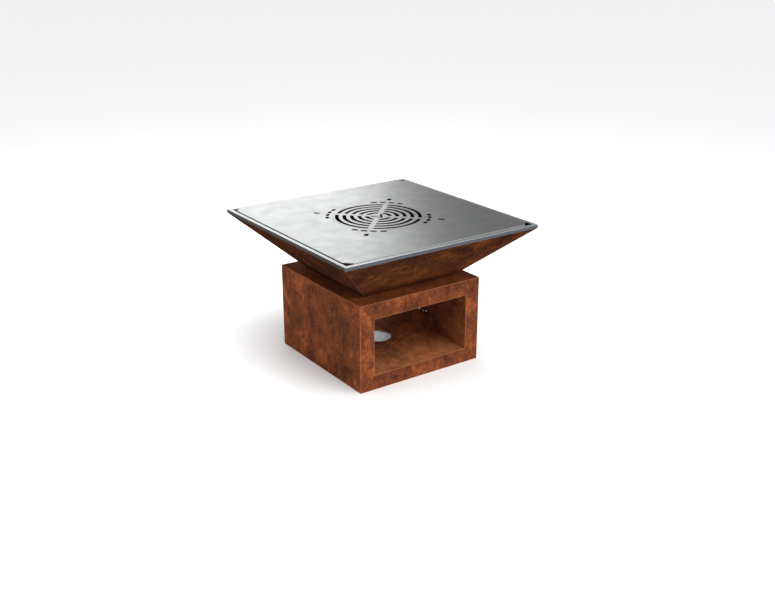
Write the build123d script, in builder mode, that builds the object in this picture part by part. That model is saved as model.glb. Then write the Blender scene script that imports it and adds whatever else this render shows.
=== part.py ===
"""Square fire pit with a cooking plate and a round grate, on a base whose tunnel stores the wood."""
import os
from math import cos, radians, sin

from build123d import *

os.makedirs("parts", exist_ok=True)

# Millimetres. Origin: centre of the base's underside, on the ground. +Z up, the wood store runs along Y.

# Whole object
total_height = 592.0
rim_width = 900.0
sliding_gap = 0.3  # left between bodies that lift or slide apart

# Box base, welded from sheet
base_width = 578.0
base_depth = 592.0
base_height = 359.0
base_sheet = 3.0
frame_border = 64.5  # front and back frames: left, right and top pieces
sill_height = 60.0  # front and back frames: bottom piece, level with the store's floor
outlet_radius = 65.0  # hole in the base's top, round the bowl's locating ring

# Rivets that show on the store's walls, three to a wall
rivet_head_radius = 5.0
rivet_head_height = 2.5
rivet_shank_radius = 2.4
rivet_shank_length = 6.0
rivet_spots = [(-32.0, 140.0), (-12.0, 135.0), (13.0, 134.5)]  # (y, z)

# Bowl: four sloping sheets on a square floor plate
bowl_sheet = 4.0
bowl_bottom_width = 446.0
bowl_floor_width = 438.0
rim_bar_width = 16.0
rim_bar_height = 14.0
locating_ring_radius = 63.0
locating_ring_wall = 4.0
locating_ring_depth = 20.0

# Air damper under the bowl's floor
air_hole_radius = 12.0
air_hole_circle = 32.0
damper_radius = 52.0
damper_thickness = 3.0
bolt_radius = 4.0
bolt_running_gap = 0.05
bolt_clearance = 0.2
bolt_head_height = 5.3
bolt_tail = 3.0  # thread left below the nut
hexagon_across_corners = 15.0
washer_radius = 8.0
washer_thickness = 1.6
nut_height = 6.5
handle_circle = 44.0
handle_length = 36.0
handle_radius = 4.0
handle_knob_radius = 9.0

# Cooking plate and the ledges that carry it
plate_thickness = 10.0
plate_rise = 2.0  # plate's top above the rim's top
plate_gap = 4.0  # open joint between plate and rim
plate_corner = 31.0  # corners cut off, for the drain openings
ledge_thickness = 5.0
ledge_inner = 398.0
ledge_length = 500.0
edge_break = 0.8

# Round grate let into the plate
grate_opening_radius = 187.0
grate_gap = 0.8
tab_inner = 176.5
tab_outer = 197.0
tab_width = 40.0
tab_thickness = 4.0
ring_slot_count = 5
first_ring_radius = 46.5
ring_pitch = 30.3
ring_slot_width = 15.5
bridge_width = 20.0
lift_slot_width = 9.0
lift_slot_foot = (0.0, -22.0)
lift_slot_reach = (24.0, 17.0)
dash_circle = 205.7
dash_length = 28.0
dash_width = 16.0
dashes_in_group = 4
dash_group_span = 31.5  # degrees, first to last
corner_slot_circle = 255.0
corner_slot_length = 29.0
corner_slot_width = 17.0

# Round dish on the store's floor that catches the ash
dish_radius = 57.0
dish_height = 3.5
dish_wall = 1.2
dish_setback = 10.0

# Worked out from the dimensions above
half_base = base_width / 2
half_depth = base_depth / 2
half_rim = rim_width / 2
half_opening = half_base - frame_border
opening_top = base_height - frame_border
bowl_floor_bottom = base_height + sliding_gap
bowl_wall_bottom = bowl_floor_bottom + bowl_sheet
rim_top = total_height - plate_rise
rim_bottom = rim_top - rim_bar_height
bowl_flare = (half_rim - bowl_bottom_width / 2) / (rim_bottom - bowl_wall_bottom)
bowl_wall_width = bowl_sheet * (1 + bowl_flare**2) ** 0.5  # measured level, not square to the sheet
rim_inner = half_rim - rim_bar_width
half_plate = rim_inner - plate_gap
plate_bottom = total_height - plate_thickness
ledge_top = plate_bottom - sliding_gap
grate_bottom = plate_bottom + sliding_gap
damper_top = bowl_floor_bottom - sliding_gap
damper_bottom = damper_top - damper_thickness
washer_top = damper_bottom - sliding_gap
nut_top = washer_top - washer_thickness
nut_bottom = nut_top - nut_height
handle_end = damper_bottom - handle_length
dish_bottom = sill_height + sliding_gap

up = Vector(0, 0, 1)
sides = {
    "front": Vector(0, -1, 0),
    "right": Vector(1, 0, 0),
    "back": Vector(0, 1, 0),
    "left": Vector(-1, 0, 0),
}


def save(builder, name):
    builder.part.label = name
    export_step(builder.part, f"parts/{name}.step")


def level_plane(height, outward=Vector(1, 0, 0)):
    """Horizontal plane whose x axis points outward."""
    return Plane(origin=(0, 0, height), x_dir=outward, z_dir=up)


def section_plane(outward):
    """Upright plane through the centre: x points outward, y points up."""
    return Plane(origin=(0, 0, 0), x_dir=outward, z_dir=outward.cross(up))


def sheet_box(low, high):
    """A flat sheet between two opposite corners."""
    size = [b - a for a, b in zip(low, high)]
    middle = [(a + b) / 2 for a, b in zip(low, high)]
    with BuildPart() as sheet:
        with Locations(tuple(middle)):
            Box(*size)
    return sheet


def mitred_side(outward, section, bottom, top):
    """Run a section along one side of the square and cut its ends on the diagonals."""
    with BuildPart() as side:
        with BuildSketch(section_plane(outward)):
            with BuildLine():
                Polyline(*section, close=True)
            make_face()
        extrude(amount=rim_width, both=True)
        with BuildSketch(level_plane(bottom, outward)):
            with BuildLine():
                Polyline((0, 0), (rim_width, rim_width), (rim_width, -rim_width), close=True)
            make_face()
        extrude(amount=top - bottom, mode=Mode.INTERSECT)
    return side


# Base: outer sheets
inside = half_base - base_sheet
inside_end = half_depth - base_sheet
save(sheet_box((-half_base, -inside_end, 0), (-inside, inside_end, base_height)), "base_left_panel")
save(sheet_box((inside, -inside_end, 0), (half_base, inside_end, base_height)), "base_right_panel")
save(sheet_box((-inside, -inside_end, 0), (inside, inside_end, base_sheet)), "base_bottom_panel")

with BuildPart() as base_top_panel:
    with BuildSketch(level_plane(base_height)):
        Rectangle(2 * inside, 2 * inside_end)
        Circle(outlet_radius, mode=Mode.SUBTRACT)
    extrude(amount=-base_sheet)
save(base_top_panel, "base_top_panel")

# Base: front and back frames, four pieces each, mitred at the corners
frame_outer = [(-half_base, 0), (half_base, 0), (half_base, base_height), (-half_base, base_height)]
frame_inner = [
    (-half_opening, sill_height),
    (half_opening, sill_height),
    (half_opening, opening_top),
    (-half_opening, opening_top),
]
for face, outer_y, inward in (("front", -half_depth, base_sheet), ("back", half_depth, -base_sheet)):
    face_plane = Plane(origin=(0, outer_y, 0), x_dir=(1, 0, 0), z_dir=(0, -1, 0))
    for index, place in enumerate(["bottom", "right", "top", "left"]):
        following = (index + 1) % 4
        with BuildPart() as frame_piece:
            with BuildSketch(face_plane):
                with BuildLine():
                    Polyline(
                        frame_outer[index],
                        frame_outer[following],
                        frame_inner[following],
                        frame_inner[index],
                        close=True,
                    )
                make_face()
            extrude(amount=-inward)
        save(frame_piece, f"{face}_frame_{place}")

# Base: lining of the wood store, a tunnel open at the front and the back
store_floor = sheet_box((-inside, -inside_end, sill_height - base_sheet), (inside, inside_end, sill_height))
save(store_floor, "store_floor")

for place, way in (("left", -1), ("right", 1)):
    near = way * half_opening
    far = way * (half_opening + base_sheet)
    wall_plane = Plane(origin=(near, 0, 0), x_dir=(0, 1, 0), z_dir=(1, 0, 0))
    with BuildPart() as store_wall:
        with BuildSketch(wall_plane):
            with Locations((0, (sill_height + base_height - base_sheet) / 2)):
                Rectangle(2 * inside_end, base_height - base_sheet - sill_height)
            with Locations(*rivet_spots):
                Circle(rivet_shank_radius, mode=Mode.SUBTRACT)
        extrude(amount=way * base_sheet)
    save(store_wall, f"store_{place}_wall")

# Each rivet has a domed head inside the store and a shank through the wall.
with BuildPart() as wall_rivets:
    for way in (-1, 1):
        for y, z in rivet_spots:
            rivet_plane = Plane(origin=(way * half_opening, y, z), x_dir=(0, 1, 0), z_dir=(-way, 0, 0))
            with BuildSketch(rivet_plane):
                Circle(rivet_head_radius)
            extrude(amount=rivet_head_height)
            with BuildSketch(rivet_plane):
                Circle(rivet_shank_radius)
            extrude(amount=-rivet_shank_length)
    crown_x = half_opening - rivet_head_height
    head_edges = wall_rivets.edges().filter_by(lambda edge: abs(abs(edge.center().X) - crown_x) < 0.01)
    fillet(head_edges, rivet_head_height * 0.8)
save(wall_rivets, "wall_rivets")

# Bowl: sloping walls, rim bars on top of them, and ledges inside the bars
wall_section = [
    (bowl_bottom_width / 2, bowl_wall_bottom),
    (half_rim, rim_bottom),
    (half_rim - bowl_wall_width, rim_bottom),
    (bowl_bottom_width / 2 - bowl_wall_width, bowl_wall_bottom),
]
rim_section = [
    (rim_inner, rim_bottom),
    (half_rim, rim_bottom),
    (half_rim, rim_top),
    (rim_inner, rim_top),
]
ledge_section = [
    (ledge_inner, ledge_top - ledge_thickness),
    (rim_inner, ledge_top - ledge_thickness),
    (rim_inner, ledge_top),
    (ledge_inner, ledge_top),
]
for place, outward in sides.items():
    bowl_wall = mitred_side(outward, wall_section, bowl_wall_bottom, rim_bottom)
    save(bowl_wall, f"bowl_{place}_wall")

    rim_bar = mitred_side(outward, rim_section, rim_bottom, rim_top)
    with rim_bar:
        chamfer(rim_bar.faces().sort_by(Axis.Z)[-1].edges(), edge_break)
    save(rim_bar, f"rim_{place}_bar")

    with BuildPart() as plate_ledge:
        with BuildSketch(section_plane(outward)):
            with BuildLine():
                Polyline(*ledge_section, close=True)
            make_face()
        extrude(amount=ledge_length / 2, both=True)
    save(plate_ledge, f"plate_{place}_ledge")

# Bowl: floor with the four air holes, and the ring under it that centres the bowl on the base
with BuildPart() as bowl_floor:
    with BuildSketch(level_plane(bowl_floor_bottom)):
        Rectangle(bowl_floor_width, bowl_floor_width)
        Circle(bolt_radius + bolt_clearance, mode=Mode.SUBTRACT)
        with PolarLocations(air_hole_circle, 4, start_angle=45):
            Circle(air_hole_radius, mode=Mode.SUBTRACT)
    extrude(amount=bowl_sheet)
save(bowl_floor, "bowl_floor")

with BuildPart() as locating_ring:
    with BuildSketch(level_plane(bowl_floor_bottom)):
        Circle(locating_ring_radius)
        Circle(locating_ring_radius - locating_ring_wall, mode=Mode.SUBTRACT)
    extrude(amount=-locating_ring_depth)
    outer_foot = locating_ring.faces().sort_by(Axis.Z)[0].edges().sort_by(SortBy.RADIUS)[-1]
    chamfer(outer_foot, locating_ring_wall / 2)
save(locating_ring, "locating_ring")

# Air damper: a disc with the same four holes that turns on a bolt through the bowl's floor
with BuildPart() as damper_disc:
    with BuildSketch(level_plane(damper_top)):
        Circle(damper_radius)
        Circle(bolt_radius + bolt_running_gap, mode=Mode.SUBTRACT)
        with PolarLocations(air_hole_circle, 4, start_angle=45):
            Circle(air_hole_radius, mode=Mode.SUBTRACT)
    extrude(amount=-damper_thickness)
save(damper_disc, "damper_disc")

knob_centre = handle_end + handle_knob_radius
with BuildPart() as damper_handle:
    with BuildSketch(Plane(origin=(0, -handle_circle, damper_bottom))):
        Circle(handle_radius)
    extrude(amount=knob_centre - damper_bottom)
    with Locations((0, -handle_circle, knob_centre)):
        Sphere(handle_knob_radius)
save(damper_handle, "damper_handle")

with BuildPart() as damper_bolt:
    with BuildSketch(level_plane(bowl_wall_bottom)):
        RegularPolygon(hexagon_across_corners / 2, 6)
    extrude(amount=bolt_head_height)
    with BuildSketch(level_plane(bowl_wall_bottom)):
        Circle(bolt_radius)
    extrude(amount=nut_bottom - bolt_tail - bowl_wall_bottom)
save(damper_bolt, "damper_bolt")

with BuildPart() as damper_washer:
    with BuildSketch(level_plane(washer_top)):
        Circle(washer_radius)
        Circle(bolt_radius + bolt_clearance, mode=Mode.SUBTRACT)
    extrude(amount=-washer_thickness)
save(damper_washer, "damper_washer")

with BuildPart() as damper_nut:
    with BuildSketch(level_plane(nut_top)):
        RegularPolygon(hexagon_across_corners / 2, 6)
        Circle(bolt_radius, mode=Mode.SUBTRACT)
    extrude(amount=-nut_height)
save(damper_nut, "damper_nut")

# Cooking plate: square with cut corners, a round opening, and slots between the opening and its corners
with BuildPart() as cooking_plate:
    with BuildSketch(level_plane(plate_bottom)) as plate_outline:
        Rectangle(2 * half_plate, 2 * half_plate)
        chamfer(plate_outline.vertices(), plate_corner)
        Circle(grate_opening_radius, mode=Mode.SUBTRACT)
        for quarter in range(4):
            group_start = 45 + 90 * quarter - dash_group_span / 2
            with PolarLocations(
                dash_circle,
                dashes_in_group,
                start_angle=group_start,
                angular_range=dash_group_span,
                endpoint=True,
            ):
                SlotOverall(dash_length, dash_width, rotation=90, mode=Mode.SUBTRACT)
        with PolarLocations(corner_slot_circle, 4, start_angle=45):
            SlotOverall(corner_slot_length, corner_slot_width, mode=Mode.SUBTRACT)
    extrude(amount=plate_thickness)
    chamfer(cooking_plate.faces().sort_by(Axis.Z)[-1].outer_wire().edges(), edge_break)
save(cooking_plate, "cooking_plate")

# Four tabs under the plate's opening carry the grate
for index, place in enumerate(["back_right", "back_left", "front_left", "front_right"]):
    angle = radians(45 + 90 * index)
    tab_plane = level_plane(plate_bottom, Vector(cos(angle), sin(angle), 0))
    with BuildPart() as grate_tab:
        with BuildSketch(tab_plane):
            with Locations(((tab_inner + tab_outer) / 2, 0)):
                Rectangle(tab_outer - tab_inner, tab_width)
        extrude(amount=-tab_thickness)
    save(grate_tab, f"grate_tab_{place}")

# Round grate: rings of slots broken by bridges on the diagonals, and a V-shaped slot for the lifting hook
slot_rise = lift_slot_reach[1] - lift_slot_foot[1]
with BuildPart() as grill_grate:
    with BuildSketch(level_plane(grate_bottom)):
        Circle(grate_opening_radius - grate_gap)
    extrude(amount=total_height - grate_bottom)
    with BuildSketch(level_plane(grate_bottom)) as ring_slots:
        for index in reversed(range(ring_slot_count)):
            middle_radius = first_ring_radius + index * ring_pitch
            Circle(middle_radius + ring_slot_width / 2)
            Circle(middle_radius - ring_slot_width / 2, mode=Mode.SUBTRACT)
        for bridge_angle in (45, 135):
            Rectangle(rim_width, bridge_width, rotation=bridge_angle, mode=Mode.SUBTRACT)
    extrude(amount=total_height - grate_bottom, mode=Mode.SUBTRACT)
    with BuildSketch(level_plane(grate_bottom)) as lifting_slot:
        with BuildLine():
            Polyline(
                (-lift_slot_reach[0], lift_slot_reach[1]),
                lift_slot_foot,
                (lift_slot_reach[0], lift_slot_reach[1]),
            )
            offset(amount=lift_slot_width / 2)
        make_face()
    extrude(amount=total_height - grate_bottom, mode=Mode.SUBTRACT)
save(grill_grate, "grill_grate")

# Ash dish: low and round, standing on the store's floor under the damper
dish_section = [
    (0, dish_bottom),
    (dish_radius - dish_wall, dish_bottom),
    (dish_radius, dish_bottom + dish_height),
    (dish_radius - dish_wall, dish_bottom + dish_height),
    (dish_radius - 2 * dish_wall, dish_bottom + dish_wall),
    (0, dish_bottom + dish_wall),
]
with BuildPart() as ash_dish:
    with BuildSketch(Plane(origin=(0, dish_setback, 0), x_dir=(1, 0, 0), z_dir=(0, -1, 0))):
        with BuildLine():
            Polyline(*dish_section, close=True)
        make_face()
    revolve(axis=Axis((0, dish_setback, 0), (0, 0, 1)))
save(ash_dish, "ash_dish")
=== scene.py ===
import math

import bmesh
import bpy
from mathutils import Matrix, Vector


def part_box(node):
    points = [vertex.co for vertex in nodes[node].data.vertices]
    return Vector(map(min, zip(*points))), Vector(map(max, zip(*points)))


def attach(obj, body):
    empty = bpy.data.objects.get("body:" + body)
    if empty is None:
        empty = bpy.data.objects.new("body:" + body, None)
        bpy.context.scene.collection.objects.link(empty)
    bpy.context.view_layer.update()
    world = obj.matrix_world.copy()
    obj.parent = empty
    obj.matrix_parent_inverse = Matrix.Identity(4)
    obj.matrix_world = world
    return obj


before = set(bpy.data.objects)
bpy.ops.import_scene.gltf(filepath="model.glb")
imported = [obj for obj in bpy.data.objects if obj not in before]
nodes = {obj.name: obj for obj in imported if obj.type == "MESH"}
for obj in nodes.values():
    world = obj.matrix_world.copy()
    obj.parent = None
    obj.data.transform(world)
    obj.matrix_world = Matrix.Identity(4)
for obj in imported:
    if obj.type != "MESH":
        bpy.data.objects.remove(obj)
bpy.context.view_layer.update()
print("frame loaded:", len(nodes), "nodes")

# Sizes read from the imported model, all in metres
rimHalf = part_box("rim_front_bar")[1].x
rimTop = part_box("rim_front_bar")[1].z
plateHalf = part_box("cooking_plate")[1].y
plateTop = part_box("cooking_plate")[1].z
bowlBottom, bowlTop = (cornerHighlight.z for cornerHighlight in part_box("bowl_front_wall"))
bowlFloorLow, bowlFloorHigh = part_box("bowl_floor")
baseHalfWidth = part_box("base_right_panel")[1].x
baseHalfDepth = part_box("back_frame_top")[1].y
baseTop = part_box("base_left_panel")[1].z
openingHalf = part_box("store_right_wall")[0].x
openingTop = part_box("front_frame_top")[0].z
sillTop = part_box("front_frame_bottom")[1].z
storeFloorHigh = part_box("store_floor")[1]

# The bowl's sheet thickness, its half width at the bottom, and how fast that half width grows with height
bowlSheet = bowlFloorHigh.z - bowlFloorLow.z
bowlBottomHalf = bowlFloorHigh.x + bowlSheet
bowlFlare = (rimHalf - bowlBottomHalf) / (bowlTop - bowlBottom)


def fromHex(code):
    channels = [int(code[i:i + 2], 16) / 255 for i in (1, 3, 5)]
    linear = [c / 12.92 if c <= 0.04045 else ((c + 0.055) / 1.055) ** 2.4 for c in channels]
    return (*linear, 1)


# Adds one node and gives back its outputs. A key is a socket's name or number, or one of the node's own
# properties, and another node's output given as a value is linked.
def addNode(tree, kind, settings):
    node = tree.nodes.new(kind)
    for key, value in settings.items():
        if key == "ramp":
            stops = node.color_ramp.elements
            while len(stops) < len(value):
                stops.new(0.5)
            for stop, (position, code) in zip(stops, value):
                stop.position = position
                stop.color = fromHex(code)
        elif isinstance(value, bpy.types.NodeSocket):
            tree.links.new(value, node.inputs[key])
        elif isinstance(key, str) and hasattr(node, key):
            setattr(node, key, value)
        else:
            node.inputs[key].default_value = value
    return node.outputs


def newMaterial(name):
    material = bpy.data.materials.new(name)
    material.use_nodes = True
    material.node_tree.nodes.clear()
    return material, material.node_tree


def giveMaterial(material, names):
    for name in names:
        mesh = nodes[name].data
        mesh.materials.clear()
        mesh.materials.append(material)


def named(*starts):
    return [name for name in nodes if name.startswith(starts)]


# Map Range settings: a fade is full up to From Min and gone from From Max, a rise is the other way round
fade = {"interpolation_type": "SMOOTHSTEP", "To Min": 1.0, "To Max": 0.0}
rise = {"interpolation_type": "SMOOTHSTEP", "To Min": 0.0, "To Max": 1.0}


# How far a point lies inside the faces at plus and minus half
def insideOf(tree, along, half):
    size = addNode(tree, "ShaderNodeMath", {"operation": "ABSOLUTE", 0: along})[0]
    return addNode(tree, "ShaderNodeMath", {"operation": "SUBTRACT", 0: half, 1: size})[0]


# Weathering steel: sheet left outdoors until a matt, mottled rust skin closes over it. Sizes are in metres.
rustSkin = {
    "body": "#683720",
    "plum": "#49281d",
    "orange": "#8b4b28",
    # also the colour of the painted light just inside the store's mouths
    "speckAndLight": "#a3663f",
    # painted highlight colour for the lightened edges
    "edge": "#a3694a",
    "seam": "#46281c",
    "patchSize": 0.10,
    "mottleSize": 0.017,
    "grainSize": 0.006,
    "streakWidth": 0.014,  # rain runs down in streaks
    "streakLength": 0.07,
    "streakShare": 0.28,
    "mottleShare": 0.20,
    "tones": ((0.61, "plum"), (0.71, "body"), (0.76, "body"), (0.87, "orange")),
    "mottling": 0.34,  # how much darker and lighter than its tone the mottle goes
    "mottleRange": (0.3, 0.7),
    "spotRange": (0.34, 0.50),  # the grain's values that make dark spots, and those that make light flecks
    "spotShare": 0.45,
    "fleckRange": (0.55, 0.72),
    "fleckShare": 0.35,
    "otherSheet": (1.7, 2.3, 0.9),  # how far off on the pattern a sheet cut separately lies
    "pitDepth": 0.0012,
    "roughness": (0.72, 0.92),
    "specular": 0.04,
}

# The bowl's own sheet has been through fires: the same rust, burnt darker
burntSkin = dict(rustSkin, body="#442618", plum="#2f1a13", orange="#5f341a", speckAndLight="#684028", edge="#59351f",
                 mottling=0.36, specular=0.0)


# The mottled tones, the noises they come from, and the layers of dark spots and light flecks over them
def rustColour(tree, coords, settings):
    patch = addNode(tree, "ShaderNodeTexNoise", {"Vector": coords, "Scale": 1 / settings["patchSize"],
                                                 "Detail": 5.0, "Roughness": 0.6, "Distortion": 0.3})["Fac"]
    mottle = addNode(tree, "ShaderNodeTexNoise", {"Vector": coords, "Scale": 1 / settings["mottleSize"],
                                                  "Detail": 6.0, "Roughness": 0.72, "Distortion": 0.6})["Fac"]
    grain = addNode(tree, "ShaderNodeTexNoise", {"Vector": coords, "Scale": 1 / settings["grainSize"],
                                                 "Detail": 2.0, "Roughness": 0.6})["Fac"]
    across = 1 / settings["streakWidth"]
    down = 1 / settings["streakLength"]
    tall = addNode(tree, "ShaderNodeMapping", {"Vector": coords, "Scale": (across, across, down)})[0]
    streak = addNode(tree, "ShaderNodeTexNoise", {"Vector": tall, "Scale": 1.0, "Detail": 3.0})["Fac"]
    warm = addNode(tree, "ShaderNodeMath", {"operation": "MULTIPLY_ADD", 0: streak,
                                            1: settings["streakShare"], 2: patch})[0]
    warm = addNode(tree, "ShaderNodeMath", {"operation": "MULTIPLY_ADD", 0: mottle,
                                            1: settings["mottleShare"], 2: warm})[0]
    tones = [(position, settings[tone]) for position, tone in settings["tones"]]
    tone = addNode(tree, "ShaderNodeValToRGB", {"Fac": warm, "ramp": tones})[0]
    low, high = settings["mottleRange"]
    shade = addNode(tree, "ShaderNodeMapRange", {"Value": mottle, "From Min": low, "From Max": high,
                                                 "To Min": 1 - settings["mottling"],
                                                 "To Max": 1 + settings["mottling"]})[0]
    mottled = addNode(tree, "ShaderNodeVectorMath", {"operation": "SCALE", 0: tone, "Scale": shade})[0]
    low, high = settings["spotRange"]
    spots = addNode(tree, "ShaderNodeMapRange", {**fade, "Value": grain, "From Min": low, "From Max": high,
                                                 "To Min": settings["spotShare"]})[0]
    low, high = settings["fleckRange"]
    flecks = addNode(tree, "ShaderNodeMapRange", {**rise, "Value": grain, "From Min": low, "From Max": high,
                                                  "To Max": settings["fleckShare"]})[0]
    return mottled, mottle, grain, [(spots, settings["plum"]), (flecks, settings["speckAndLight"])]


# masks gives the layers that belong to the place on the piece, each a mask and its colour. Where offset is
# given and is 1, the pattern comes from another place, as on a sheet cut separately.
def weatheringSteel(name, settings, masks, offset=None):
    material, tree = newMaterial(name)
    place = addNode(tree, "ShaderNodeTexCoord", {})["Object"]
    xyz = addNode(tree, "ShaderNodeSeparateXYZ", {"Vector": place})
    coords = place
    if offset:
        moved = addNode(tree, "ShaderNodeVectorMath", {"operation": "SCALE", 0: settings["otherSheet"],
                                                       "Scale": offset(tree, xyz)})[0]
        coords = addNode(tree, "ShaderNodeVectorMath", {"operation": "ADD", 0: place, 1: moved})[0]
    colour, mottle, grain, layers = rustColour(tree, coords, settings)
    for mask, code in layers + masks(tree, place, xyz):
        colour = addNode(tree, "ShaderNodeMix", {"data_type": "RGBA", "Factor": mask, 6: colour,
                                                 7: fromHex(code)})[2]
    height = addNode(tree, "ShaderNodeMath", {"operation": "MULTIPLY_ADD", 0: mottle, 1: 0.5, 2: grain})[0]
    bump = addNode(tree, "ShaderNodeBump", {"Height": height, "Strength": 0.4,
                                            "Distance": settings["pitDepth"]})[0]
    least, most = settings["roughness"]
    rough = addNode(tree, "ShaderNodeMapRange", {"Value": mottle, "To Min": least, "To Max": most})[0]
    shader = addNode(tree, "ShaderNodeBsdfPrincipled", {"Base Color": colour, "Roughness": rough,
                                                        "Normal": bump, "IOR": 1.45,
                                                        "Specular IOR Level": settings["specular"]})
    addNode(tree, "ShaderNodeOutputMaterial", {"Surface": shader[0]})
    return material


# Painted light on the base: lighter edges as a painted highlight and a lighter top as painted sky light, and
# darker mitred seams. A width is where the highlight or seam starts to fade and where it is gone, in metres.
baseSeamsAndPaintedLight = {
    "edgeWidth": (0.0006, 0.0026),
    "edgeShare": 0.6,
    "litTopShare": 0.25,  # painted light: the top is lighter and more orange, standing in for the sky light on it
    "topDepth": 0.0005,
    "frameEdgeHighlightShare": 0.7,
    "seamWidth": (0.01, 0.04),  # in shares of the frame's width
    "seamShare": 0.5,
}


# On the base's skin one of the three distances from its faces is zero, and the middle one is the distance
# from the nearest edge
def edgeDistance(tree, xyz):
    sideways = insideOf(tree, xyz[0], baseHalfWidth)
    lengthways = insideOf(tree, xyz[1], baseHalfDepth)
    belowTop = addNode(tree, "ShaderNodeMath", {"operation": "SUBTRACT", 0: baseTop, 1: xyz[2]})[0]
    upright = addNode(tree, "ShaderNodeMath", {"operation": "MINIMUM", 0: xyz[2], 1: belowTop})[0]
    lesser = addNode(tree, "ShaderNodeMath", {"operation": "MINIMUM", 0: sideways, 1: lengthways})[0]
    greater = addNode(tree, "ShaderNodeMath", {"operation": "MAXIMUM", 0: sideways, 1: lengthways})[0]
    inner = addNode(tree, "ShaderNodeMath", {"operation": "MINIMUM", 0: greater, 1: upright})[0]
    return addNode(tree, "ShaderNodeMath", {"operation": "MAXIMUM", 0: lesser, 1: inner})[0]


def baseMasks(tree, place, xyz):
    # Painted highlight: the skin is lightened along the base's edges, where rounded edges would catch the
    # light
    near, far = baseSeamsAndPaintedLight["edgeWidth"]
    litEdge = addNode(tree, "ShaderNodeMapRange", {**fade, "Value": edgeDistance(tree, xyz), "From Min": near,
                                                "From Max": far, "To Min": baseSeamsAndPaintedLight["edgeShare"]})[0]
    onTop = addNode(tree, "ShaderNodeMath", {"operation": "GREATER_THAN", 0: xyz[2],
                                             1: baseTop - baseSeamsAndPaintedLight["topDepth"]})[0]
    litTop = addNode(tree, "ShaderNodeMath", {"operation": "MULTIPLY", 0: onTop, 1: baseSeamsAndPaintedLight["litTopShare"]})[0]
    return [(litTop, rustSkin["orange"]), (litEdge, rustSkin["edge"])]


# How far across the frame's width a point is, 0 at the outer edge and 1 at the opening: on an upright member
# and on a level one. The mitred seam is where the two are equal.
def frameSteps(tree, xyz):
    fromSide = insideOf(tree, xyz[0], baseHalfWidth)
    fromSide = addNode(tree, "ShaderNodeMath", {"operation": "DIVIDE", 0: fromSide,
                                                1: baseHalfWidth - openingHalf})[0]
    fromGround = addNode(tree, "ShaderNodeMath", {"operation": "DIVIDE", 0: xyz[2], 1: sillTop})[0]
    belowTop = addNode(tree, "ShaderNodeMath", {"operation": "SUBTRACT", 0: baseTop, 1: xyz[2]})[0]
    fromTop = addNode(tree, "ShaderNodeMath", {"operation": "DIVIDE", 0: belowTop,
                                               1: baseTop - openingTop})[0]
    fromEnd = addNode(tree, "ShaderNodeMath", {"operation": "MINIMUM", 0: fromGround, 1: fromTop})[0]
    return fromSide, fromEnd


def frameOffset(tree, xyz):
    fromSide, fromEnd = frameSteps(tree, xyz)
    return addNode(tree, "ShaderNodeMath", {"operation": "GREATER_THAN", 0: fromSide, 1: fromEnd})[0]


def frameMasks(tree, place, xyz):
    fromSide, fromEnd = frameSteps(tree, xyz)
    apart = addNode(tree, "ShaderNodeMath", {"operation": "SUBTRACT", 0: fromSide, 1: fromEnd})[0]
    fromSeam = addNode(tree, "ShaderNodeMath", {"operation": "ABSOLUTE", 0: apart})[0]
    near, far = baseSeamsAndPaintedLight["seamWidth"]
    seam = addNode(tree, "ShaderNodeMapRange", {**fade, "Value": fromSeam, "From Min": near, "From Max": far,
                                                "To Min": baseSeamsAndPaintedLight["seamShare"]})[0]
    across = addNode(tree, "ShaderNodeMath", {"operation": "MINIMUM", 0: fromSide, 1: fromEnd})[0]
    remaining = addNode(tree, "ShaderNodeMath", {"operation": "SUBTRACT", 0: 1.0, 1: across})[0]
    remaining = addNode(tree, "ShaderNodeMath", {"operation": "ABSOLUTE", 0: remaining})[0]
    fromOpening = addNode(tree, "ShaderNodeMath", {"operation": "MULTIPLY", 0: remaining,
                                                   1: baseHalfWidth - openingHalf})[0]
    fromEdge = addNode(tree, "ShaderNodeMath", {"operation": "MINIMUM", 0: edgeDistance(tree, xyz),
                                                1: fromOpening})[0]
    # Painted highlight: the frame's outer edges and the edges of its opening are lightened
    near, far = baseSeamsAndPaintedLight["edgeWidth"]
    litEdge = addNode(tree, "ShaderNodeMapRange", {**fade, "Value": fromEdge, "From Min": near, "From Max": far,
                                                "To Min": baseSeamsAndPaintedLight["frameEdgeHighlightShare"]})[0]
    return [(seam, rustSkin["seam"]), (litEdge, rustSkin["edge"])]


# Painted light: the rust just inside the store's mouths is painted lighter in blotches, standing in for the
# light that falls in past the frame, and the lips get a painted highlight
storeMouthLight = {
    "lightReach": (0.04, 0.20),  # from the mouth, in metres: full painted light as far as the first, none from the second
    "lightHeight": (0.02, 0.18),  # above the sill
    "blotchSize": 0.035,
    "blotchRange": (0.32, 0.68),
    "lightShare": (0.15, 0.95),  # between the blotches and on them
    "lipWidth": (0.003, 0.006),
    "lipHighlightShare": 0.6,
}


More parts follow.
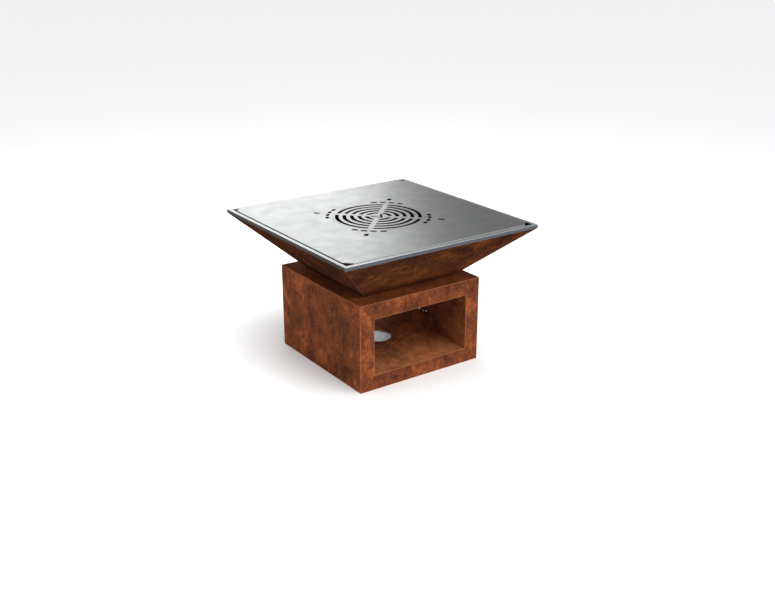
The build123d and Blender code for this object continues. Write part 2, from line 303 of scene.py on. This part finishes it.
def storeMasks(tree, place, xyz):
    fromMouth = insideOf(tree, xyz[1], baseHalfDepth)
    aboveSill = addNode(tree, "ShaderNodeMath", {"operation": "SUBTRACT", 0: xyz[2], 1: sillTop})[0]
    # Painted light near the mouths and low over the sill
    near, far = storeMouthLight["lightReach"]
    reached = addNode(tree, "ShaderNodeMapRange", {**fade, "Value": fromMouth, "From Min": near,
                                                   "From Max": far})[0]
    near, far = storeMouthLight["lightHeight"]
    nearSill = addNode(tree, "ShaderNodeMapRange", {**fade, "Value": aboveSill, "From Min": near,
                                                    "From Max": far})[0]
    litArea = addNode(tree, "ShaderNodeMath", {"operation": "MULTIPLY", 0: reached, 1: nearSill})[0]
    blotch = addNode(tree, "ShaderNodeTexNoise", {"Vector": place, "Scale": 1 / storeMouthLight["blotchSize"],
                                                  "Detail": 6.0, "Roughness": 0.7})["Fac"]
    low, high = storeMouthLight["blotchRange"]
    least, most = storeMouthLight["lightShare"]
    share = addNode(tree, "ShaderNodeMapRange", {"Value": blotch, "From Min": low, "From Max": high,
                                                 "To Min": least, "To Max": most})[0]
    mouthLight = addNode(tree, "ShaderNodeMath", {"operation": "MULTIPLY", 0: litArea, 1: share})[0]
    # Painted highlight along the lip of each mouth
    near, far = storeMouthLight["lipWidth"]
    lipHighlight = addNode(tree, "ShaderNodeMapRange", {**fade, "Value": fromMouth, "From Min": near, "From Max": far,
                                               "To Min": storeMouthLight["lipHighlightShare"]})[0]
    return [(mouthLight, rustSkin["speckAndLight"]), (lipHighlight, rustSkin["edge"])]


# Soot covers the inside of the bowl. The walls that face sideways are painted darker as painted shade, the
# foot of the other two is painted lighter as painted light against the shade at the bottom, and the outer
# corners get a painted highlight
bowlSootAndLight = {
    "litFootRise": (0.01, 0.16),
    "litFootShare": 0.30,
    "sideShade": "#2c1811",
    "sideShadeShare": 0.55,
    "cornerWidth": (0.0010, 0.0050),
    "cornerHighlightShare": 0.6,
    "soot": "#231c19",
    "skinDepth": (0.0010, 0.0035),
    "sootShare": 0.85,
}


def bowlOffset(tree, xyz):
    sideways = addNode(tree, "ShaderNodeMath", {"operation": "ABSOLUTE", 0: xyz[0]})[0]
    lengthways = addNode(tree, "ShaderNodeMath", {"operation": "ABSOLUTE", 0: xyz[1]})[0]
    return addNode(tree, "ShaderNodeMath", {"operation": "GREATER_THAN", 0: sideways, 1: lengthways})[0]


def bowlMasks(tree, place, xyz):
    height = addNode(tree, "ShaderNodeMath", {"operation": "SUBTRACT", 0: xyz[2], 1: bowlBottom})[0]
    halfWidth = addNode(tree, "ShaderNodeMath", {"operation": "MULTIPLY_ADD", 0: height, 1: bowlFlare,
                                                 2: bowlBottomHalf})[0]
    sideways = addNode(tree, "ShaderNodeMath", {"operation": "ABSOLUTE", 0: xyz[0]})[0]
    lengthways = addNode(tree, "ShaderNodeMath", {"operation": "ABSOLUTE", 0: xyz[1]})[0]
    across = addNode(tree, "ShaderNodeMath", {"operation": "MAXIMUM", 0: sideways, 1: lengthways})[0]
    lesser = addNode(tree, "ShaderNodeMath", {"operation": "MINIMUM", 0: sideways, 1: lengthways})[0]

    # Painted light: the foot of the front and back walls is lightened against the shade at the bottom
    near, far = bowlSootAndLight["litFootRise"]
    foot = addNode(tree, "ShaderNodeMapRange", {**fade, "Value": height, "From Min": near, "From Max": far,
                                                "To Min": bowlSootAndLight["litFootShare"]})[0]
    endWall = addNode(tree, "ShaderNodeMath", {"operation": "GREATER_THAN", 0: lengthways, 1: sideways})[0]
    litFoot = addNode(tree, "ShaderNodeMath", {"operation": "MULTIPLY", 0: foot, 1: endWall})[0]
    # Painted shade: the walls that face sideways are darkened
    sideWall = addNode(tree, "ShaderNodeMath", {"operation": "GREATER_THAN", 0: sideways, 1: lengthways})[0]
    shadedSides = addNode(tree, "ShaderNodeMath", {"operation": "MULTIPLY", 0: sideWall,
                                              1: bowlSootAndLight["sideShadeShare"]})[0]

    # Painted highlight along the bowl's outer corners
    fromCorner = addNode(tree, "ShaderNodeMath", {"operation": "SUBTRACT", 0: across, 1: lesser})[0]
    near, far = bowlSootAndLight["cornerWidth"]
    cornerHighlight = addNode(tree, "ShaderNodeMapRange", {**fade, "Value": fromCorner, "From Min": near,
                                                  "From Max": far, "To Min": bowlSootAndLight["cornerHighlightShare"]})[0]
    inward = addNode(tree, "ShaderNodeMath", {"operation": "SUBTRACT", 0: halfWidth, 1: across})[0]
    near, far = bowlSootAndLight["skinDepth"]
    sooted = addNode(tree, "ShaderNodeMapRange", {**rise, "Value": inward, "From Min": near, "From Max": far,
                                                  "To Max": bowlSootAndLight["sootShare"]})[0]
    return [(litFoot, rustSkin["body"]), (shadedSides, bowlSootAndLight["sideShade"]), (cornerHighlight, burntSkin["edge"]),
            (sooted, bowlSootAndLight["soot"])]


baseRust = weatheringSteel("weatheringSteelSheet", rustSkin, baseMasks)
frameRust = weatheringSteel("weatheringSteelFrame", rustSkin, frameMasks, frameOffset)
storeRust = weatheringSteel("weatheringSteelStore", rustSkin, storeMasks)
bowlRust = weatheringSteel("weatheringSteelBowl", burntSkin, bowlMasks, bowlOffset)
giveMaterial(baseRust, named("base_"))
giveMaterial(frameRust, named("front_frame_", "back_frame_"))
giveMaterial(storeRust, ["store_floor", "store_left_wall", "store_right_wall"])
giveMaterial(bowlRust, named("bowl_"))
print("weathering steel done")

# Weld beads: rippled runs of filler along the joins of the sheets, rusted over with them
weldSettings = {
    "radius": 0.0032,
    "ripple": 0.16,
    "pitch": 0.0036,
    "step": 0.0012,
    "segments": 10,
    "mouthGap": 0.006,  # from the end of a run to the store's mouth
    "rimGap": 0.012,  # from the end of a seam to the bowl's top
}


# A grid rolled up into a tube: rings swell and shrink with the ripple, and both ends close to a point
def weldBead(mesh, start, end, settings):
    along = end - start
    turn = along.to_track_quat("Z", "Y").to_matrix()
    steps = round(along.length / settings["step"])
    grid = bmesh.ops.create_grid(mesh, x_segments=steps, y_segments=settings["segments"], size=1.0)["verts"]
    for vert in grid:
        way = (vert.co.x + 1) / 2
        angle = math.pi * vert.co.y
        nearEnd = min(way, 1 - way) * along.length
        swell = 1.0 - settings["ripple"] * abs(math.cos(math.pi * way * along.length / settings["pitch"]))
        radius = settings["radius"] * swell * min(1.0, nearEnd / settings["radius"]) ** 0.5
        vert.co = start + along * way + turn @ Vector((math.cos(angle) * radius, math.sin(angle) * radius, 0))
    bmesh.ops.remove_doubles(mesh, verts=grid, dist=0.00001)


def weldPiece(name, runs, settings, body, material):
    mesh = bmesh.new()
    for start, end in runs:
        weldBead(mesh, Vector(start), Vector(end), settings)
    bmesh.ops.recalc_face_normals(mesh, faces=mesh.faces)
    data = bpy.data.meshes.new(name)
    mesh.to_mesh(data)
    mesh.free()
    data.materials.append(material)
    data.polygons.foreach_set("use_smooth", [True] * len(data.polygons))
    piece = bpy.data.objects.new(name, data)
    bpy.context.scene.collection.objects.link(piece)
    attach(piece, body)


# Along the store's floor, where it meets the two walls
runEnd = storeFloorHigh.y - weldSettings["mouthGap"]
storeRuns = [((side * openingHalf, -runEnd, storeFloorHigh.z), (side * openingHalf, runEnd, storeFloorHigh.z))
             for side in (-1, 1)]
weldPiece("storeWelds", storeRuns, weldSettings, "base", storeRust)

# Inside the bowl, up the four corners and round the floor
innerHalf = bowlBottomHalf - bowlSheet * math.sqrt(1 + bowlFlare ** 2)
seamRise = bowlTop - bowlBottom - weldSettings["rimGap"]
seamHalf = innerHalf + seamRise * bowlFlare
signs = [(-1, -1), (1, -1), (1, 1), (-1, 1)]
feet = [(x * innerHalf, y * innerHalf, bowlFloorHigh.z) for x, y in signs]
heads = [(x * seamHalf, y * seamHalf, bowlFloorHigh.z + seamRise) for x, y in signs]
weldPiece("bowlWelds", list(zip(feet, heads)) + list(zip(feet, feet[1:] + feet[:1])), weldSettings, "bowl",
          bowlRust)
print("weld beads done")

# Brushed mild steel: rolled plate ground with a belt along X, then oiled and handled, so it is streaked and
# smudged. The streaks are a few millimetres wide, coarser than a belt's grit, so that they show.
brushedPlate = {
    "bright": "#a2a4a3",
    "smudge": "#949796",
    # painted shade: the slots' cut walls are near black, as the shade deep in the slots
    "cut": "#0d0c0b",
    "outerEdge": "#7d8084",
    "streakWidth": 0.0045,
    "streakLength": 0.20,
    "streakShare": 0.45,
    "smudgeSize": 0.075,
    "spread": (0.56, 0.88),  # from smudged to bright
    "skinDepth": (0.0007, 0.0013),  # below it the cut edges start
    "edgeDepth": 0.0012,  # as deep in from the front and back, a cut edge is an outer one
    "roughness": (0.36, 0.32),  # smudged and bright
    "cutRoughness": 0.8,
}


def brushedSteel(name, settings, faceTop):
    material, tree = newMaterial(name)
    place = addNode(tree, "ShaderNodeTexCoord", {})["Object"]
    xyz = addNode(tree, "ShaderNodeSeparateXYZ", {"Vector": place})
    brushed = (1 / settings["streakLength"], 1 / settings["streakWidth"], 1.0)
    along = addNode(tree, "ShaderNodeMapping", {"Vector": place, "Scale": brushed})[0]
    streak = addNode(tree, "ShaderNodeTexNoise", {"Vector": along, "Scale": 1.0, "Detail": 3.0})["Fac"]
    smudge = addNode(tree, "ShaderNodeTexNoise", {"Vector": place, "Scale": 1 / settings["smudgeSize"],
                                                  "Detail": 4.0, "Roughness": 0.6, "Distortion": 0.4})["Fac"]
    mixed = addNode(tree, "ShaderNodeMath", {"operation": "MULTIPLY_ADD", 0: streak,
                                             1: settings["streakShare"], 2: smudge})[0]
    dull, bright = settings["spread"]
    face = addNode(tree, "ShaderNodeValToRGB", {"Fac": mixed, "ramp": [(dull, settings["smudge"]),
                                                                       (bright, settings["bright"])]})[0]
    depth = addNode(tree, "ShaderNodeMath", {"operation": "SUBTRACT", 0: faceTop, 1: xyz[2]})[0]
    near, far = settings["skinDepth"]
    cut = addNode(tree, "ShaderNodeMapRange", {**rise, "Value": depth, "From Min": near, "From Max": far})[0]
    lengthways = addNode(tree, "ShaderNodeMath", {"operation": "ABSOLUTE", 0: xyz[1]})[0]
    outer = addNode(tree, "ShaderNodeMath", {"operation": "GREATER_THAN", 0: lengthways,
                                             1: plateHalf - settings["edgeDepth"]})[0]
    # Painted shade: the slots' cut walls are painted near black; the plate's outer cut edge stays grey
    cutColour = addNode(tree, "ShaderNodeMix", {"data_type": "RGBA", "Factor": outer,
                                                6: fromHex(settings["cut"]),
                                                7: fromHex(settings["outerEdge"])})[2]
    colour = addNode(tree, "ShaderNodeMix", {"data_type": "RGBA", "Factor": cut, 6: face, 7: cutColour})[2]
    smudged, polished = settings["roughness"]
    polish = addNode(tree, "ShaderNodeMapRange", {"Value": mixed, "From Min": dull, "From Max": bright,
                                                  "To Min": smudged, "To Max": polished})[0]
    rough = addNode(tree, "ShaderNodeMix", {"data_type": "FLOAT", "Factor": cut, 2: polish,
                                            3: settings["cutRoughness"]})[0]
    metal = addNode(tree, "ShaderNodeMath", {"operation": "SUBTRACT", 0: 1.0, 1: cut})[0]
    bump = addNode(tree, "ShaderNodeBump", {"Height": streak, "Strength": 0.2, "Distance": 0.0003})[0]
    shader = addNode(tree, "ShaderNodeBsdfPrincipled", {"Base Color": colour, "Roughness": rough,
                                                        "Metallic": metal, "Normal": bump,
                                                        "Specular IOR Level": 0.3})
    addNode(tree, "ShaderNodeOutputMaterial", {"Surface": shader[0]})
    return material


plateSteel = brushedSteel("brushedMildSteelPlate", brushedPlate, plateTop)
giveMaterial(plateSteel, ["cooking_plate", "grill_grate"])

# Ground flat bar: bright ground top; the outer faces keep their rolled skin, painted charcoal on the side
# bars as painted shade and blue-grey on the front and back bars as painted light
rimBar = {
    "ground": "#a9acab",
    "shadedSideSkin": "#131211",
    "litFrontSkin": "#4b4d54",
    "patchSize": 0.0357,
    "skinDepth": (0.0006, 0.0012),
    "roughness": (0.30, 0.46),
}


def flatBar(name, settings, faceTop):
    material, tree = newMaterial(name)
    place = addNode(tree, "ShaderNodeTexCoord", {})["Object"]
    xyz = addNode(tree, "ShaderNodeSeparateXYZ", {"Vector": place})
    depth = addNode(tree, "ShaderNodeMath", {"operation": "SUBTRACT", 0: faceTop, 1: xyz[2]})[0]
    near, far = settings["skinDepth"]
    side = addNode(tree, "ShaderNodeMapRange", {**rise, "Value": depth, "From Min": near, "From Max": far})[0]
    sideways = addNode(tree, "ShaderNodeMath", {"operation": "ABSOLUTE", 0: xyz[0]})[0]
    lengthways = addNode(tree, "ShaderNodeMath", {"operation": "ABSOLUTE", 0: xyz[1]})[0]
    sideBar = addNode(tree, "ShaderNodeMath", {"operation": "GREATER_THAN", 0: sideways, 1: lengthways})[0]
    patches = addNode(tree, "ShaderNodeTexNoise", {"Vector": place, "Scale": 1 / settings["patchSize"],
                                                   "Detail": 4.0})["Fac"]
    least, most = settings["roughness"]
    rough = addNode(tree, "ShaderNodeMapRange", {"Value": patches, "To Min": least, "To Max": most})[0]
    # Painted light and shade: the side bars' outer skin is painted charcoal, the front and back bars'
    # blue-grey
    skin = addNode(tree, "ShaderNodeMix", {"data_type": "RGBA", "Factor": sideBar,
                                           6: fromHex(settings["litFrontSkin"]),
                                           7: fromHex(settings["shadedSideSkin"])})[2]
    colour = addNode(tree, "ShaderNodeMix", {"data_type": "RGBA", "Factor": side,
                                             6: fromHex(settings["ground"]), 7: skin})[2]
    metal = addNode(tree, "ShaderNodeMath", {"operation": "SUBTRACT", 0: 1.0, 1: side})[0]
    bump = addNode(tree, "ShaderNodeBump", {"Height": patches, "Strength": 0.15, "Distance": 0.0004})[0]
    shader = addNode(tree, "ShaderNodeBsdfPrincipled", {"Base Color": colour, "Roughness": rough,
                                                        "Metallic": metal, "Normal": bump,
                                                        "Specular IOR Level": 0.12})
    addNode(tree, "ShaderNodeOutputMaterial", {"Surface": shader[0]})
    return material


giveMaterial(flatBar("groundFlatBar", rimBar, rimTop), named("rim_"))

# Other steels: dull dark mill scale, bright zinc plating, plain rolled sheet, and a satin dish
plainSteels = {
    "millScaleSteel": {"colour": "#2e2d2e", "light": "#454344", "roughness": (0.52, 0.68), "grain": 0.006,
                       "nodes": named("plate_", "grate_tab") + ["locating_ring"]},
    "zincPlatedSteel": {"colour": "#c9ced4", "light": "#eef1f4", "roughness": (0.20, 0.36), "grain": 0.003,
                        "nodes": ["damper_bolt", "damper_washer", "damper_nut", "wall_rivets"]},
    "rolledSheetSteel": {"colour": "#6d6e70", "light": "#8b8c8e", "roughness": (0.37, 0.53), "grain": 0.01,
                         "nodes": ["damper_disc", "damper_handle"]},
    "satinDishSteel": {"colour": "#a9adb0", "light": "#c6cacd", "roughness": (0.42, 0.58), "grain": 0.012,
                       "nodes": ["ash_dish"]},
}


def plainSteel(name, settings):
    material, tree = newMaterial(name)
    place = addNode(tree, "ShaderNodeTexCoord", {})["Object"]
    patches = addNode(tree, "ShaderNodeTexNoise", {"Vector": place, "Scale": 1 / settings["grain"],
                                                   "Detail": 4.0})["Fac"]
    colour = addNode(tree, "ShaderNodeValToRGB", {"Fac": patches, "ramp": [(0.35, settings["colour"]),
                                                                           (0.68, settings["light"])]})[0]
    least, most = settings["roughness"]
    rough = addNode(tree, "ShaderNodeMapRange", {"Value": patches, "To Min": least, "To Max": most})[0]
    bump = addNode(tree, "ShaderNodeBump", {"Height": patches, "Strength": 0.1, "Distance": 0.0003})[0]
    shader = addNode(tree, "ShaderNodeBsdfPrincipled", {"Base Color": colour, "Roughness": rough,
                                                        "Normal": bump, "Metallic": 0.95})
    addNode(tree, "ShaderNodeOutputMaterial", {"Surface": shader[0]})
    return material


for steelName, steelSettings in plainSteels.items():
    giveMaterial(plainSteel(steelName, steelSettings), steelSettings["nodes"])
print("steels done")

# A wide pale floor in matt paint
floorSettings = {
    "half": 60.0,
    "colour": "#f4f4f4",
    "roughness": 0.9,
    "specular": 0.1,
}


def makeFloor(settings):
    grid = bmesh.new()
    bmesh.ops.create_grid(grid, x_segments=1, y_segments=1, size=settings["half"])
    mesh = bpy.data.meshes.new("studioFloor")
    grid.to_mesh(mesh)
    grid.free()
    floor = bpy.data.objects.new("studioFloor", mesh)
    bpy.context.scene.collection.objects.link(floor)
    material, tree = newMaterial("paintedStudioFloor")
    shader = addNode(tree, "ShaderNodeBsdfPrincipled", {"Base Color": fromHex(settings["colour"]),
                                                        "Roughness": settings["roughness"],
                                                        "Specular IOR Level": settings["specular"]})
    addNode(tree, "ShaderNodeOutputMaterial", {"Surface": shader[0]})
    mesh.materials.append(material)


# Lengths in metres, angles in degrees, lens and sensor in millimetres
cameraSettings = {
    "target": (0.04466, 0.0, 0.2377),
    "distance": 4.0712,
    "azimuth": -35.107,
    "elevation": 20.996,
    "lens": 45.24,
    "sensor": 36.0,
    "farEnd": 200.0,
}


# The direction from the target back to a camera or lamp at this azimuth and elevation, in degrees
def wayBack(azimuth, elevation):
    turn = math.radians(azimuth)
    lift = math.radians(elevation)
    return Vector((math.sin(turn) * math.cos(lift), -math.cos(turn) * math.cos(lift), math.sin(lift)))


def makeCamera(settings):
    data = bpy.data.cameras.new("camera")
    data.lens = settings["lens"]
    data.sensor_width = settings["sensor"]
    data.clip_end = settings["farEnd"]
    camera = bpy.data.objects.new("camera", data)
    bpy.context.scene.collection.objects.link(camera)
    back = wayBack(settings["azimuth"], settings["elevation"])
    camera.location = Vector(settings["target"]) + back * settings["distance"]
    camera.rotation_euler = back.to_track_quat("Z", "Y").to_euler()
    bpy.context.scene.camera = camera


# An even dim sky for the light from all round; the camera sees it white
skySettings = {"strength": 0.23, "seenStrength": 1.0}


def makeSky(settings):
    world = bpy.data.worlds.new("studioSky")
    world.use_nodes = True
    tree = world.node_tree
    tree.nodes.clear()
    seen = addNode(tree, "ShaderNodeLightPath", {})["Is Camera Ray"]
    strength = addNode(tree, "ShaderNodeMapRange", {"Value": seen, "To Min": settings["strength"],
                                                    "To Max": settings["seenStrength"]})[0]
    sky = addNode(tree, "ShaderNodeBackground", {"Color": (1, 1, 1, 1), "Strength": strength})[0]
    addNode(tree, "ShaderNodeOutputWorld", {"Surface": sky})
    bpy.context.scene.world = world


# A sun as wide as an overcast sky's bright part, so that shadows stay soft
sunSettings = {"strength": 3.6, "angle": 75.0, "azimuth": 12.0, "elevation": 42.0}


def makeSun(settings):
    data = bpy.data.lights.new("softSun", "SUN")
    data.energy = settings["strength"]
    data.angle = math.radians(settings["angle"])
    sun = bpy.data.objects.new("softSun", data)
    bpy.context.scene.collection.objects.link(sun)
    back = wayBack(settings["azimuth"], settings["elevation"])
    sun.rotation_euler = back.to_track_quat("Z", "Y").to_euler()


# A softbox's middle is right of the camera's line, away from the camera and above the ground, in metres. An
# upright one faces back along that line and the others face the object. Lean turns a box in its own plane.
softboxes = {
    "backPanel": {"middle": (-1.86, 4.0, 1.78), "size": (3.6, 3.4), "lean": 22.0, "radiance": 2.08,
                  "upright": True},
    "overhead": {"middle": (0.0, 0.2, 3.6), "size": (3.0, 3.0), "lean": 0.0, "radiance": 3.1,
                 "upright": False},
    "sidePanel": {"middle": (-3.6, -0.6, 1.6), "size": (2.6, 2.6), "lean": 0.0, "radiance": 2.1,
                  "upright": False},
}


def makeSoftbox(name, settings):
    width, height = settings["size"]
    data = bpy.data.lights.new(name, "AREA")
    data.shape = "RECTANGLE"
    data.size = width
    data.size_y = height
    data.energy = math.pi * width * height * settings["radiance"]
    softbox = bpy.data.objects.new(name, data)
    bpy.context.scene.collection.objects.link(softbox)
    turn = Matrix.Rotation(math.radians(cameraSettings["azimuth"]), 3, "Z")
    softbox.location = turn @ Vector(settings["middle"])
    back = softbox.location - Vector(cameraSettings["target"])
    if settings["upright"]:
        back = turn @ Vector((0, 1, 0))
    lean = Matrix.Rotation(math.radians(settings["lean"]), 3, "Z")
    softbox.rotation_euler = (back.to_track_quat("Z", "Y").to_matrix() @ lean).to_euler()
    softbox.visible_camera = False


makeFloor(floorSettings)
makeCamera(cameraSettings)
makeSky(skySettings)
makeSun(sunSettings)
for boxName, boxSettings in softboxes.items():
    makeSoftbox(boxName, boxSettings)
bpy.context.scene.view_settings.view_transform = "Standard"
print("studio done")
